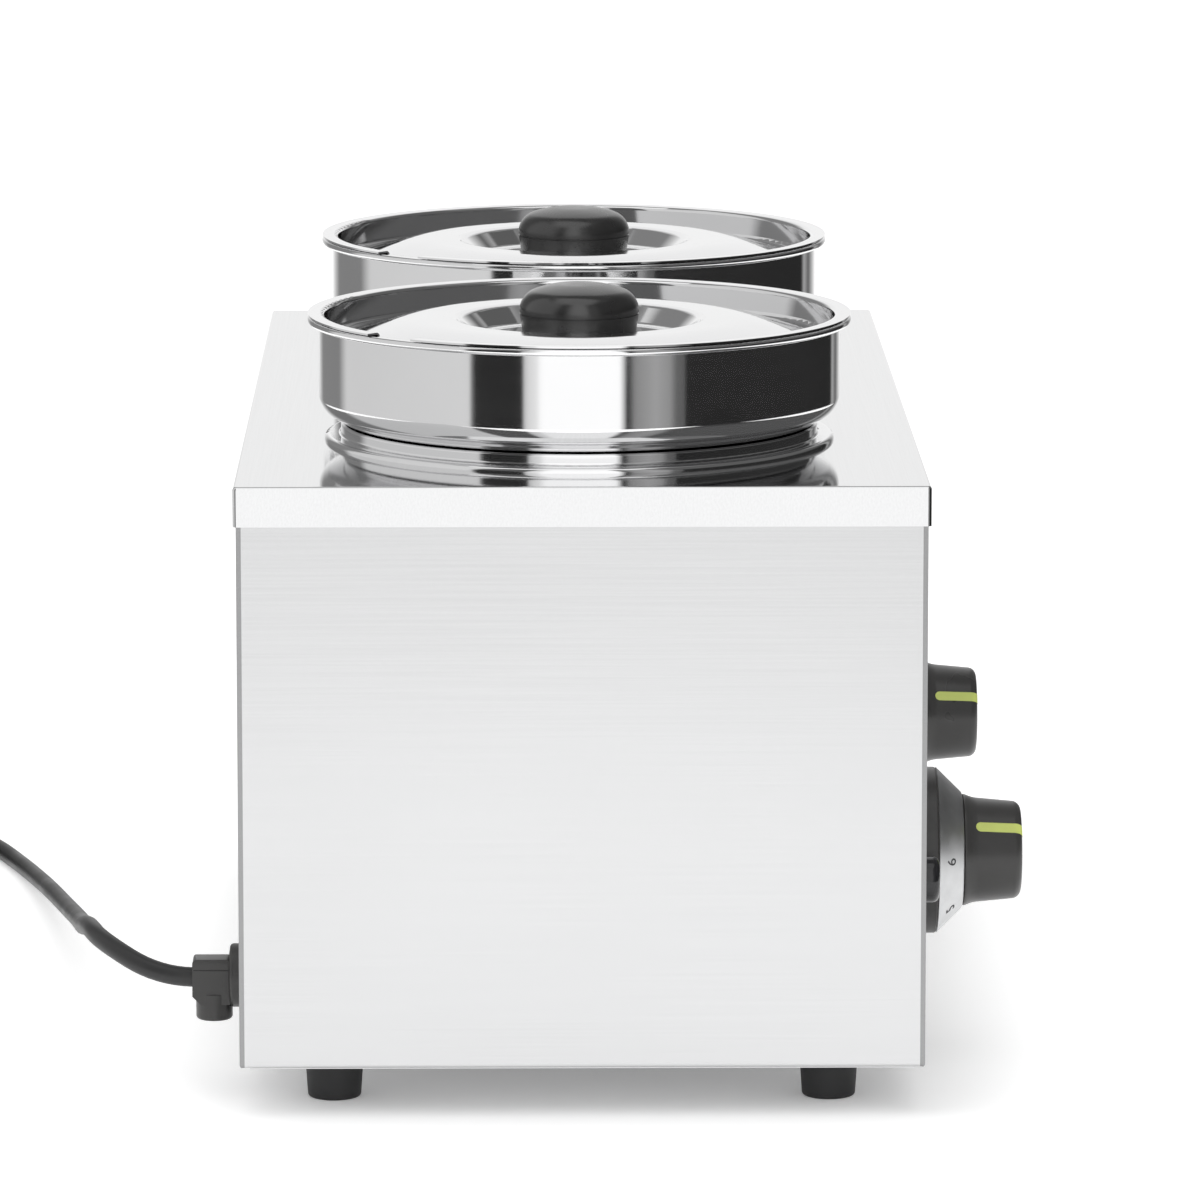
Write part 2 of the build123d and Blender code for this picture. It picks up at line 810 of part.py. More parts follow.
def terminal_block():
    """A three-way terminal block on the rear panel, beside the gland"""
    wide, deep, tall = terminal_size
    block = Box(wide, deep, tall)
    for x in (-wide / 3, 0, wide / 3):
        block -= Pos(x, 0, tall / 2) * Cylinder(3, 8)
        block -= Pos(x, 0, -2) * Rot(90, 0, 0) * Cylinder(2, 3 * deep)
    block = block - [Pos(x, 0, -tall / 2) * Box(1.5, 3 * deep, 4) for x in (-wide / 6, wide / 6)]
    return Pos(terminal_x, rear - sheet - deep / 2, gland_z) * block


def wiring_loom():
    """Supply cores to the terminal block, and the leads on to switches, thermostats and heaters"""
    wire = 1.2
    deep = terminal_size[1]
    tail_y = rear - sheet - spigot_depth - 1
    block_y = rear - sheet - deep
    low = panel_foot + 12
    loom = []
    supply = [
        (gland_x, tail_y + 0.8, gland_z),
        (gland_x, tail_y - 26, gland_z),
        (terminal_x - deep, block_y - 22, gland_z - 2),
        (terminal_x - terminal_size[0] / 3, block_y - 14, gland_z - 2),
        (terminal_x - terminal_size[0] / 3, block_y + 0.5, gland_z - 2),
    ]
    loom.append(rod(supply, wire, [12, 8, 5]))
    for side in sides:
        x = switch_x(side)
        start_x = terminal_x + (0 if side == "left" else terminal_size[0] / 3)
        back = front + barrel_depth + 8
        run = [
            (start_x, block_y + 0.5, gland_z - 2),
            (start_x, block_y - 18, gland_z - 2),
            (start_x, block_y - 40, low),
            (x, back + 30, low),
            (x, back + 14, control_z),
            (x, back + 0.2, control_z),
        ]
        loom.append(rod(run, wire, [8, 12, 12, 6]))
        heater = [
            (knob_x(side) + 12, front + sheet + body_deep + 8, control_z - 8),
            (knob_x(side) + 12, front + sheet + body_deep + 24, control_z - 8),
            (pot_x(side) + 5.5, body_mid - element_radius - 4, low + 6),
            (pot_x(side) + 5.5, body_mid - element_radius, low + 24),
        ]
        loom.append(rod(heater, wire, [8, 8]))
    return loom


# The lead's route, chosen by hand: out of the clamp, round to the right, slowly down to
# the floor and on behind the body, to the coil that is put away at its end
cord_route = [
    (gland_x, rear + 0.5, gland_z),
    (gland_x, rear + 35, gland_z),
    (gland_x + 16.5, rear + 55, gland_z + 2.0),
    (gland_x + 47, rear + 62.5, gland_z + 3.0),
    (gland_x + 105, rear + 71, gland_z - 1),
    (gland_x + 187, rear + 85, gland_z - 9.5),
    (gland_x + 290, rear + 97.5, gland_z - 24.5),
    (gland_x + 392, rear + 111, gland_z - 38),
    (gland_x + 468, rear + 126, floor_cord),
    (gland_x + 520, rear + 137, floor_cord),
    (gland_x + 547, rear + 152, floor_cord),
    (gland_x + 556, rear + 172.5, floor_cord),
]
coil_centre = (gland_x + 510, rear + 202)
tail_turn = 25.0           # where the lead leaves the coil, in degrees past its far side


def tail_start():
    """The point on the coil's outer turn where the lead leaves it, and its direction there"""
    radius = coil_radius + cord_diameter * (coil_turns_wide - 1) / 2
    angle = radians(tail_turn)
    point = Vector(
        coil_centre[0] - radius * sin(angle), coil_centre[1] + radius * cos(angle), floor_cord
    )
    return point, Vector(-cos(angle), -sin(angle), 0)


def tail_route():
    """From the coil, up to the plug's axis"""
    start, way = tail_start()
    up = Vector(0, 0, plug_radius - floor_cord)
    return [start + way * 20, start + way * 33, start + way * 56 + up, start + way * 68 + up]


def arc_radii(points):
    """Arcs as large as the runs beside each corner allow"""
    radii = []
    for before, here, after in zip(points, points[1:], points[2:]):
        first = Vector(here) - Vector(before)
        second = Vector(after) - Vector(here)
        half_turn = radians(first.get_angle(second) / 2)
        radii.append(0.45 * min(first.length, second.length) / tan(half_turn))
    return radii


def power_cord():
    """The lead from the clamp to the coil, and its last stretch from the coil to the plug"""
    parts = []
    for route in (cord_route, tail_route()):
        radii = arc_radii(route)
        tube = rod(route, floor_cord, radii)
        length = tube.volume / (Circle(floor_cord).area)
        print(f"lead: {length:.0f} mm, bends of", ", ".join(f"{r:.0f}" for r in radii), "mm")
        parts.append(tube)
    return parts


def coil_half_width():
    return cord_diameter * coil_turns_wide / 2


def coil_height():
    return cord_diameter * coil_turns_high


def cord_coil():
    """The put-away turns as one ring"""
    inner = coil_radius - coil_half_width()
    outer = coil_radius + coil_half_width()
    ring = turned(
        [(inner, 0), (outer, 0), (outer, coil_height()), (inner, coil_height())],
        [cord_diameter * 0.45] * 4,
    )
    return Pos(coil_centre[0], coil_centre[1], 0) * ring


def coil_tie():
    """The band round the coil's turns, on the side away from the lead's ends"""
    wall = 1.2
    half = coil_half_width() + 0.4
    top = coil_height() + 0.1
    outer = Box(2 * half + 2 * wall, 9, top + wall)
    outer = fillet(outer.edges().filter_by(Axis.Y), 3)
    inner = Pos(0, 0, -wall / 2) * Box(2 * half, 12, top)
    band = Pos(coil_radius, 0, (top + wall) / 2) * (outer - inner)
    return Pos(coil_centre[0], coil_centre[1], 0) * Rot(0, 0, 200) * band


def plug_place():
    """A plane at the plug's rear end, with its own Z towards the pins"""
    start, way = tail_start()
    origin = start + way * 68 + Vector(0, 0, plug_radius - floor_cord)
    return Plane(origin=origin, x_dir=(0, 0, 1), z_dir=way)


plug_relief = 20.0
plug_body_length = 36.0


def plug_body():
    """A two-pole plug: ribbed relief, waisted grip and a round face"""
    cord = floor_cord
    tip = plug_relief + plug_body_length
    shape = turned(
        [
            (0, 0),
            (cord + 1.2, 0),
            (cord + 3.5, plug_relief),
            (plug_radius * 0.72, plug_relief + 5),
            (plug_radius * 0.78, tip - 14),
            (plug_radius, tip - 8),
            (plug_radius, tip),
            (0, tip),
        ],
        [0, 0.6, 3, 5, 6, 2, 1.2, 0],
    )
    for row in (0.35, 0.6, 0.85):
        groove = Cylinder(cord + 6, 1.4) - Cylinder(cord + 0.9, 3)
        shape -= Pos(0, 0, plug_relief * row) * groove
    flat = Pos(0, plug_radius, tip - 4) * Box(8, 5, 12)
    shape = shape - flat - mirror(flat, about=Plane.XZ)
    for x in (-pin_pitch / 2, pin_pitch / 2):
        shape -= Pos(x, 0, tip) * Cylinder(pin_radius, 16)
    return plug_place() * shape


def plug_pins():
    """Both contact pins, set into the plug's face"""
    tip = plug_relief + plug_body_length
    pin = turned(
        [(0, tip - 8), (pin_radius, tip - 8), (pin_radius, tip + pin_length), (0, tip + pin_length)],
        [0, 0, 1.4, 0],
    )
    return [plug_place() * Pos(x, 0, 0) * pin for x in (-pin_pitch / 2, pin_pitch / 2)]


def build():
    """Every node's name and its solids"""
    nodes = {
        "deck": deck(),
        "front_panel": front_panel(),
        "rear_panel": rear_panel(),
        "base_plate": base_plate(),
        "base_screws": base_screws(),
        "heater_nuts": heater_nuts(),
        "thermostat_screws": thermostat_screws(),
        "foot_screws": foot_screws(),
        "terminal_block": terminal_block(),
        "wiring_loom": wiring_loom(),
        "gland_flange": gland_flange(),
        "clamp_block": clamp_block(),
        "clamp_screw": clamp_screw(),
        "power_cord": power_cord(),
        "cord_coil": cord_coil(),
        "coil_tie": coil_tie(),
        "plug_body": plug_body(),
        "plug_pins": plug_pins(),
    }
    per_side = [
        end_panel, well, heating_element, heater_clamp, dry_run_limiter, pot, lid, lid_knob,
        lid_knob_screw, thermostat_body, thermostat_shaft, capillary_bulb, dial_bezel, dial_plate,
        control_knob, pointer_insert, switch_housing, switch_rocker, switch_cap,
    ]
    for side in sides:
        for make in per_side:
            nodes[f"{make.__name__}_{side}"] = make(side)
    corners = ["left_front", "left_rear", "right_front", "right_rear"]
    for corner, (x, y) in zip(corners, foot_places()):
        nodes[f"foot_{corner}"] = foot(x, y)
    return nodes


os.makedirs("parts", exist_ok=True)
for name, shape in build().items():
    solids = shape if isinstance(shape, list) else [shape]
    flat = [solid for item in solids for solid in item.solids()]
    export_step(Compound(children=flat) if len(flat) > 1 else flat[0], f"parts/{name}.step")
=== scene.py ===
"""Dresses the twin-pot bain marie in its finishes, on a pale studio floor.

Everything is in metres, in the model's own frame: X runs along the body, the control
knobs face -Y, the mains lead leaves at +Y, and the feet stand on Z = 0.
"""
from math import cos, pi, radians, sin

import bmesh
import bpy
from bpy.props import FloatProperty, FloatVectorProperty, PointerProperty
from bpy.types import Operator, Panel, PropertyGroup
from mathutils import Matrix, Vector


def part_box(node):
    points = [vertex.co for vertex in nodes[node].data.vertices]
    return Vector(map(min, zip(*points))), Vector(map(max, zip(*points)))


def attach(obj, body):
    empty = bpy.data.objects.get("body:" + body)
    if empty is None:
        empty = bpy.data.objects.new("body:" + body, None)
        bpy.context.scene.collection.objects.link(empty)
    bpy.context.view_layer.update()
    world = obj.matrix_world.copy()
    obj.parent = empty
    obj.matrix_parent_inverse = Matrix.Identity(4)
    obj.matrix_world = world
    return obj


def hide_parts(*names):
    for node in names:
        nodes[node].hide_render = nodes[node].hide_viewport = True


bl_info = {
    "name": "Bain marie finishes",
    "version": (1, 0, 0),
    "blender": (4, 5, 0),
    "location": "3D View > Sidebar > Bain marie",
    "description": "Finishes, dial figures, mains lead and studio for a twin-pot bain marie",
    "category": "Object",
}

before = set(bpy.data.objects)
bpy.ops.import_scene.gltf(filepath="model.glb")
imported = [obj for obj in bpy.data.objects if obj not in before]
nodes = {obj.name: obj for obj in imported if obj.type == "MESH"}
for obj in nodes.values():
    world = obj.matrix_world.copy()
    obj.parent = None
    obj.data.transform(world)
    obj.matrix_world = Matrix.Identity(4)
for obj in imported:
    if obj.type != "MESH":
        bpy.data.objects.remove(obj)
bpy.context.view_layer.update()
sides = ("left", "right")


def middle(name):
    """The middle of a node's box"""
    low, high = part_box(name)
    return (low + high) / 2


def colour_property(name, description, default):
    return FloatVectorProperty(
        name=name, description=description, default=default,
        subtype="COLOR", size=3, min=0, max=1,
    )


def length_property(name, description, default):
    return FloatProperty(
        name=name, description=description, default=default,
        subtype="DISTANCE", unit="LENGTH", min=0,
    )


class BainMarieColours(PropertyGroup):
    sheet_steel: colour_property("Sheet steel", "Brushed panels", (0.61, 0.612, 0.616))
    deck_steel: colour_property("Deck steel", "Polished deck", (0.77, 0.772, 0.776))
    pressed_steel: colour_property("Pressed steel", "Pots, lids and wells", (0.84, 0.84, 0.845))
    zinc: colour_property("Zinc plate", "Screws, nuts and clamps", (0.56, 0.57, 0.58))
    element: colour_property("Element sheath", "Heating elements", (0.30, 0.28, 0.26))
    copper: colour_property("Copper", "Capillary bulbs", (0.78, 0.36, 0.22))
    pins: colour_property("Pins", "Pins of the plug", (0.80, 0.74, 0.60))
    moulding: colour_property("Black moulding", "Knobs, bezels and glands", (0.044, 0.043, 0.042))
    lid_knob: colour_property("Lid knob", "Knobs of the lids", (0.014, 0.0137, 0.0135))
    lime: colour_property("Lime inlay", "Pointers of the knobs", (0.58, 0.66, 0.16))
    dial: colour_property("Dial silver", "Ring with the figures", (0.66, 0.665, 0.67))
    figures: colour_property("Dial figures", "Ink of the figures", (0.035, 0.035, 0.037))
    rocker: colour_property("Rocker plastic", "Rockers of the switches", (0.03, 0.03, 0.032))
    cap: colour_property("Splash cap", "Caps of the switches", (0.02, 0.02, 0.022))
    resin: colour_property("Resin", "Dry-run limiters", (0.05, 0.03, 0.02))
    terminal: colour_property("Terminal plastic", "Terminal block", (0.72, 0.70, 0.64))
    sleeve: colour_property("Wire sleeve", "Wiring inside the body", (0.62, 0.60, 0.55))
    rubber: colour_property("Black rubber", "Feet", (0.022, 0.022, 0.023))
    lead: colour_property("Lead sheath", "Mains lead", (0.024, 0.024, 0.0245))


class BainMarieSizes(PropertyGroup):
    figure_height: length_property("Figure height", "Height of the dial's figures", 0.0050)
    figure_ink: length_property("Figure ink", "Thickness of the printed figures", 0.00008)
    lead_diameter: length_property("Lead diameter", "Outside of the mains lead's sheath", 0.0084)
    coil_radius: length_property("Coil radius", "Middle of the put-away turns", 0.046)


class BainMarieStudio(PropertyGroup):
    key_power: FloatProperty(
        name="Key light", description="Large soft lamp above", unit="POWER", default=15, min=0
    )
    fill_power: FloatProperty(
        name="Fill light", description="Soft lamp by the camera", unit="POWER", default=12, min=0
    )
    sky: FloatProperty(name="Sky", description="Even light from all round", default=0.70, min=0)
    focal_length: FloatProperty(
        name="Focal length", description="Camera lens", unit="CAMERA", default=240.75, min=1
    )


class Nodes:
    """A node tree, with the few steps that the finishes, the screen and the sky are made of"""

    def __init__(self, tree):
        self.tree = tree

    def node(self, kind, **settings):
        made = self.tree.nodes.new(kind)
        for name, value in settings.items():
            setattr(made, name, value)
        return made

    def join(self, source, target):
        self.tree.links.new(source, target)

    def feed(self, socket, value):
        """Links the socket to another one, or gives it a plain value"""
        if isinstance(value, bpy.types.NodeSocket):
            self.join(value, socket)
        else:
            socket.default_value = value

    def span(self, value, low, high, start=0.3, end=0.7):
        """value carried from start...end to low...high"""
        made = self.node("ShaderNodeMapRange")
        names = ("Value", "From Min", "From Max", "To Min", "To Max")
        for name, number in zip(names, (value, start, end, low, high)):
            self.feed(made.inputs[name], number)
        return made.outputs["Result"]

    def maths(self, operation, *values):
        made = self.node("ShaderNodeMath", operation=operation)
        for socket, value in zip(made.inputs, values):
            self.feed(socket, value)
        return made.outputs[0]

    def split(self, vector):
        """The vector's X, Y and Z"""
        made = self.node("ShaderNodeSeparateXYZ")
        self.join(vector, made.inputs[0])
        return made.outputs

    def blend(self, kind, factor, first, second):
        """Two colours laid over each other"""
        made = self.node("ShaderNodeMix", data_type="RGBA", blend_type=kind)
        colours = [socket for socket in made.inputs if socket.type == "RGBA"]
        for socket, value in zip((made.inputs["Factor"], *colours), (factor, first, second)):
            self.feed(socket, value)
        return next(socket for socket in made.outputs if socket.type == "RGBA")

    def seen(self):
        """1 for the rays that show a surface: straight, in a mirror or through glass"""
        rays = self.node("ShaderNodeLightPath").outputs
        seen = self.maths("MAXIMUM", rays["Is Camera Ray"], rays["Is Glossy Ray"])
        return self.maths("MAXIMUM", seen, rays["Is Transmission Ray"])


class Finish(Nodes):
    """A material round one Principled shader, with the patterns used here"""

    def __init__(self, name, colour, metallic=0.0, roughness=0.5, **sockets):
        self.material = bpy.data.materials.new(name)
        self.material.use_nodes = True
        super().__init__(self.material.node_tree)
        self.shader = self.tree.nodes["Principled BSDF"]
        self.colour = tuple(colour)
        self.shader.inputs["Base Color"].default_value = (*self.colour, 1)
        self.shader.inputs["Metallic"].default_value = metallic
        self.shader.inputs["Roughness"].default_value = roughness
        for socket, value in sockets.items():
            self.shader.inputs[socket.replace("_", " ")].default_value = value
        self.place = self.node("ShaderNodeTexCoord").outputs["Object"]

    def noise(self, scale, detail=3, roughness=0.55, place=None):
        made = self.node("ShaderNodeTexNoise")
        made.inputs["Scale"].default_value = scale
        made.inputs["Detail"].default_value = detail
        made.inputs["Roughness"].default_value = roughness
        self.join(place or self.place, made.inputs["Vector"])
        return made.outputs["Fac"]

    def stretched(self, scale):
        """The place on the piece, scaled along each axis"""
        made = self.node("ShaderNodeMapping")
        made.inputs["Scale"].default_value = scale
        self.join(self.place, made.inputs["Vector"])
        return made.outputs["Vector"]

    def both_of(self, first, second, share):
        """share of the first pattern and the rest of the second"""
        first = self.maths("MULTIPLY", first, share)
        return self.maths("ADD", first, self.maths("MULTIPLY", second, 1 - share))

    def tint(self, value, darker, lighter=1.0, start=0.3, end=0.7):
        """The base colour, darker to lighter times itself as value goes from start to end"""
        ramp = self.node("ShaderNodeValToRGB")
        stops = ramp.color_ramp.elements
        for stop, where, times in zip(stops, (start, end), (darker, lighter)):
            stop.position = where
            stop.color = (*(min(1, part * times) for part in self.colour), 1)
        self.join(value, ramp.inputs["Fac"])
        self.join(ramp.outputs["Color"], self.shader.inputs["Base Color"])

    def gloss(self, value, low, high):
        """The roughness, from low to high with the pattern"""
        self.join(self.span(value, low, high), self.shader.inputs["Roughness"])

    def darken(self, mask, tone):
        """Multiplies the base colour by tone where the mask is 1"""
        base = self.shader.inputs["Base Color"]
        below = base.links[0].from_socket
        self.join(self.blend("MULTIPLY", mask, below, (tone, tone, tone, 1)), base)

    def relief(self, value, depth):
        """A bump of that depth in metres"""
        bump = self.node("ShaderNodeBump")
        bump.inputs["Distance"].default_value = depth
        self.join(value, bump.inputs["Height"])
        self.join(bump.outputs["Normal"], self.shader.inputs["Normal"])


def dress(material, *names):
    """Gives CAD nodes a finish in every material slot"""
    for name in names:
        slots = nodes[name].material_slots
        if not slots:
            raise RuntimeError(f"{name} has no material slot")
        for slot in slots:
            slot.material = material


def both(*names):
    return [f"{name}_{side}" for name in names for side in sides]


# How a spun outline is made: facets of each bend, and how near two points are one
bend_facets = 12
one_point = 0.000002


def spun(outline, bends, steps=128):
    """A bmesh turned round Z from (radius, height) corners, each with its bend's length"""
    shape = bmesh.new()
    corners = [shape.verts.new((radius, 0, height)) for radius, height in outline]
    for pair in zip(corners, corners[1:]):
        shape.edges.new(pair)
    for corner, length in zip(corners, bends):
        if length:
            bmesh.ops.bevel(
                shape, geom=[corner], offset=length, offset_type="OFFSET", affect="VERTICES",
                segments=bend_facets, profile=0.5, material=-1,
            )
    bmesh.ops.spin(
        shape, geom=everything(shape), cent=(0, 0, 0), axis=(0, 0, 1),
        angle=2 * pi, steps=steps, use_merge=True,
    )
    bmesh.ops.remove_doubles(shape, verts=shape.verts, dist=one_point)
    bmesh.ops.recalc_face_normals(shape, faces=shape.faces)
    return shape


def everything(shape):
    """All of a bmesh's points, edges and faces"""
    return shape.verts[:] + shape.edges[:] + shape.faces[:]


def placed(shape, name, matrix, material, crease=35):
    """Makes an object of a bmesh, with its place in its mesh"""
    bmesh.ops.transform(shape, matrix=matrix, verts=shape.verts)
    mesh = bpy.data.meshes.new(name)
    shape.to_mesh(mesh)
    shape.free()
    mesh.shade_smooth()
    mesh.set_sharp_from_angle(angle=radians(crease))
    mesh.materials.append(material)
    piece = bpy.data.objects.new(name, mesh)
    bpy.context.scene.collection.objects.link(piece)
    return piece


def stands_for(piece, node, body):
    """The piece takes the place of a CAD node and moves with its body"""
    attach(piece, body)
    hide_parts(node)


def brushed_steel(name, colour, grain, roughness, edges=None):
    """Satin sheet rubbed along one axis: grain is how fast its lines change on each axis.

    edges is an axis, the middle and the reach past which the sheet's cut or folded edge lies; past
    it the colour is darkened, a painted dark reflection of the bent corners
    """
    steel = Finish(name, colour, metallic=1.0, roughness=roughness)
    fine = steel.noise(1.0, 2, 0.5, steel.stretched(grain))
    broad = steel.noise(5.0, 2)
    steel.tint(fine, 0.975, 1.015)
    steel.gloss(steel.both_of(fine, broad, 0.4), roughness * 0.8, roughness * 1.2)
    steel.relief(fine, 0.000004)
    if edges:
        axis, centre, reach = edges
        # painted reflection: the sheet is darkened past the reach, standing in for the bent
        # corners mirroring the dark studio
        off = steel.maths("SUBTRACT", steel.split(steel.place)[axis], centre)
        past = steel.maths("GREATER_THAN", steel.maths("ABSOLUTE", off), reach)
        steel.darken(past, painted_edge_tone)
    return steel.material


def polished_steel(name, colour, axis_x):
    """Pressed and polished steel, with the faint rings that polishing leaves round each axis"""
    steel = Finish(name, colour, metallic=1.0, roughness=0.07)
    place = steel.split(steel.place)
    across = steel.maths("SUBTRACT", steel.maths("ABSOLUTE", place["X"]), axis_x)
    along = steel.maths("SUBTRACT", place["Y"], middle("pot_left").y)
    squares = [steel.maths("MULTIPLY", part, part) for part in (across, along)]
    ring = steel.node("ShaderNodeCombineXYZ")
    steel.join(steel.maths("SQRT", steel.maths("ADD", *squares)), ring.inputs["X"])
    steel.join(place["Z"], ring.inputs["Z"])
    fine = steel.noise(900.0, 3, 0.6, ring.outputs["Vector"])
    smears = steel.noise(14.0, 3)
    steel.tint(smears, 0.97, 1.01)
    steel.gloss(steel.both_of(fine, smears, 0.5), 0.05, 0.10)
    steel.relief(fine, 0.000003)
    return steel.material


def moulding(name, colour, roughness, grain=2600.0, depth=0.00001, **sockets):
    """Moulded plastic or rubber with a fine spark-eroded grain"""
    plastic = Finish(name, colour, roughness=roughness, **sockets)
    fine = plastic.noise(grain, 2)
    broad = plastic.noise(38.0, 3)
    plastic.tint(broad, 0.88, 1.10)
    plastic.gloss(broad, roughness - 0.05, roughness + 0.07)
    plastic.relief(fine, depth)
    return plastic.material


def plated(name, colour, roughness, spots=120.0):
    """Plated or drawn metal, a little cloudy"""
    metal = Finish(name, colour, metallic=1.0, roughness=roughness)
    cloud = metal.noise(spots, 4)
    metal.tint(cloud, 0.82, 1.08)
    metal.gloss(cloud, roughness - 0.07, roughness + 0.10)
    metal.relief(metal.noise(900.0, 2), 0.000006)
    return metal.material


camera_place = (-3.5415, 0.0420, 0.7595)
camera_turn = (80.57, 0, -90.65)       # degrees


class BAINMARIE_OT_camera(Operator):
    """Puts the camera where the photograph was taken from"""

    bl_idname = "bainmarie.camera"
    bl_label = "Camera"

    def execute(self, context):
        data = bpy.data.cameras.new("camera")
        data.sensor_width = 36
        data.lens = context.scene.bainmarie_studio.focal_length
        data.clip_start, data.clip_end = 0.05, 200
        camera = bpy.data.objects.new("camera", data)
        camera.location = camera_place
        camera.rotation_euler = [radians(turn) for turn in camera_turn]
        context.scene.collection.objects.link(camera)
        context.scene.camera = camera
        return {"FINISHED"}


# The lead's route in metres: out of the clamp, up and round to the right, slowly down to the
# floor behind the body and on to the coil
gland_x, rear, gland_z, floor_lead = -0.2375, 0.1548, 0.0504, 0.0042
gland_reach = 0.0209
lead_route = [
    (gland_x, rear + gland_reach, gland_z),
    (gland_x, rear + 0.0355, gland_z + 0.0004),
    (gland_x + 0.0200, rear + 0.0607, gland_z + 0.0119),
    (gland_x + 0.0503, rear + 0.0670, gland_z + 0.0119),
    (gland_x + 0.1028, rear + 0.0720, gland_z + 0.0010),
    (gland_x + 0.1603, rear + 0.0752, gland_z - 0.0110),
    (gland_x + 0.2216, rear + 0.0804, gland_z - 0.0209),
    (gland_x + 0.2905, rear + 0.0897, gland_z - 0.0294),
    (gland_x + 0.3590, rear + 0.1002, gland_z - 0.0362),
    (gland_x + 0.4190, rear + 0.1099, gland_z - 0.0426),
    (gland_x + 0.4680, rear + 0.1205, floor_lead + 0.0003),
    (gland_x + 0.520, rear + 0.137, floor_lead),
    (gland_x + 0.547, rear + 0.152, floor_lead),
]
coil_centre = Vector((gland_x + 0.510, rear + 0.202, 0))
coil_start, coil_end = -31.0, 1180.0       # degrees along the coil
turn_points = 16
# Where the lead enters the plug: back from the middle of the plug's body along its axis, and the
# two points before that, further back and lower
plug_tail = 0.028
plug_run = [(0.030, 0.006), (0.012, 0), (0, 0)]
# Where the lead changes lane in the coil: degrees along it, inwards (1) or outwards (-1), up (1)
coil_moves = [(275, 325, 1, 0), (600, 650, 0, 1), (940, 990, -1, 0)]


def eased(value, start, end):
    step = min(1, max(0, (value - start) / (end - start)))
    return step * step * (3 - 2 * step)


def coil_point(angle, diameter, mean_radius):
    """A point of the coil's line, angle degrees along it"""
    radius, height = mean_radius + diameter / 2, diameter / 2
    for start, end, inwards, up in coil_moves:
        share = eased(angle, start, end)
        radius -= share * inwards * diameter
        height += share * up * diameter
    radius /= cos(pi / turn_points) ** 0.5
    turn = radians(angle)
    return coil_centre + Vector((radius * cos(turn), radius * sin(turn), height))


class BAINMARIE_OT_lead(Operator):
    """Lays the mains lead along its route and winds its put-away length into the coil"""

    bl_idname = "bainmarie.lead"
    bl_label = "Mains lead"

    def execute(self, context):
        sizes = context.scene.bainmarie_sizes
        diameter = sizes.lead_diameter
        points = [Vector(point) for point in lead_route]
        count = round((coil_end - coil_start) / 360 * turn_points)
        for step in range(count + 1):
            angle = coil_start + (coil_end - coil_start) * step / count
            points.append(coil_point(angle, diameter, sizes.coil_radius))
        plug = middle("plug_body")
        way = middle("plug_pins") - plug
        way.z = 0
        way.normalize()
        for behind, drop in plug_run:
            points.append(plug - way * (plug_tail + behind) - Vector((0, 0, drop)))
        curve = bpy.data.curves.new("mains_lead", "CURVE")
        curve.dimensions = "3D"
        curve.bevel_depth = diameter / 2
        curve.bevel_resolution = 6
        curve.resolution_u = 8
        curve.use_fill_caps = True
        spline = curve.splines.new("NURBS")
        spline.points.add(len(points) - 1)
        for target, point in zip(spline.points, points):
            target.co = (*point, 1)
        spline.order_u = 3
        spline.use_endpoint_u = True
        lead = bpy.data.objects.new("mains_lead", curve)
        context.scene.collection.objects.link(lead)
        colour = context.scene.bainmarie_colours.lead
        sheath = moulding("lead_sheath", colour, 0.42, grain=1800.0, depth=0.000015)
        curve.materials.append(sheath)
        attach(lead, "housing")
        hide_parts("power_cord", "cord_coil")
        return {"FINISHED"}


def facing_rear(x, z):
    """Turns a piece's own Z to the rear, on the rear panel"""
    return Matrix.Translation((x, rear, z)) @ Matrix.Rotation(radians(-90), 4, "X")


# Radius and distance from the panel, of the gland's round plate; and radius and height over the
# lead's axis, of the moulded screw under its clamp
plate_line = [(0.0043, 0), (0.0134, 0), (0.0134, 0.0050), (0.0090, 0.0056), (0.0043, 0.0056)]
plate_bends = [0, 0, 0.0014, 0.0008, 0]
clamp_screw_line = [(0, -0.0064), (0.0077, -0.0064), (0.0077, -0.0177), (0, -0.0177)]
clamp_screw_bends = [0, 0, 0.0016, 0]
plate_lift, clamp_screw_reach = 0.0008, 0.0119
# The clamp block's box from the gland's place on the panel, its bevels, and its parting groove
clamp_low, clamp_high = Vector((-0.0070, 0.0050, -0.0106)), Vector((0.0070, gland_reach, 0.0086))
clamp_foot_bevel, clamp_top_bevel = 0.0035, 0.0018
groove_low, groove_high, groove_depth = 0.0040, 0.0045, 0.0005


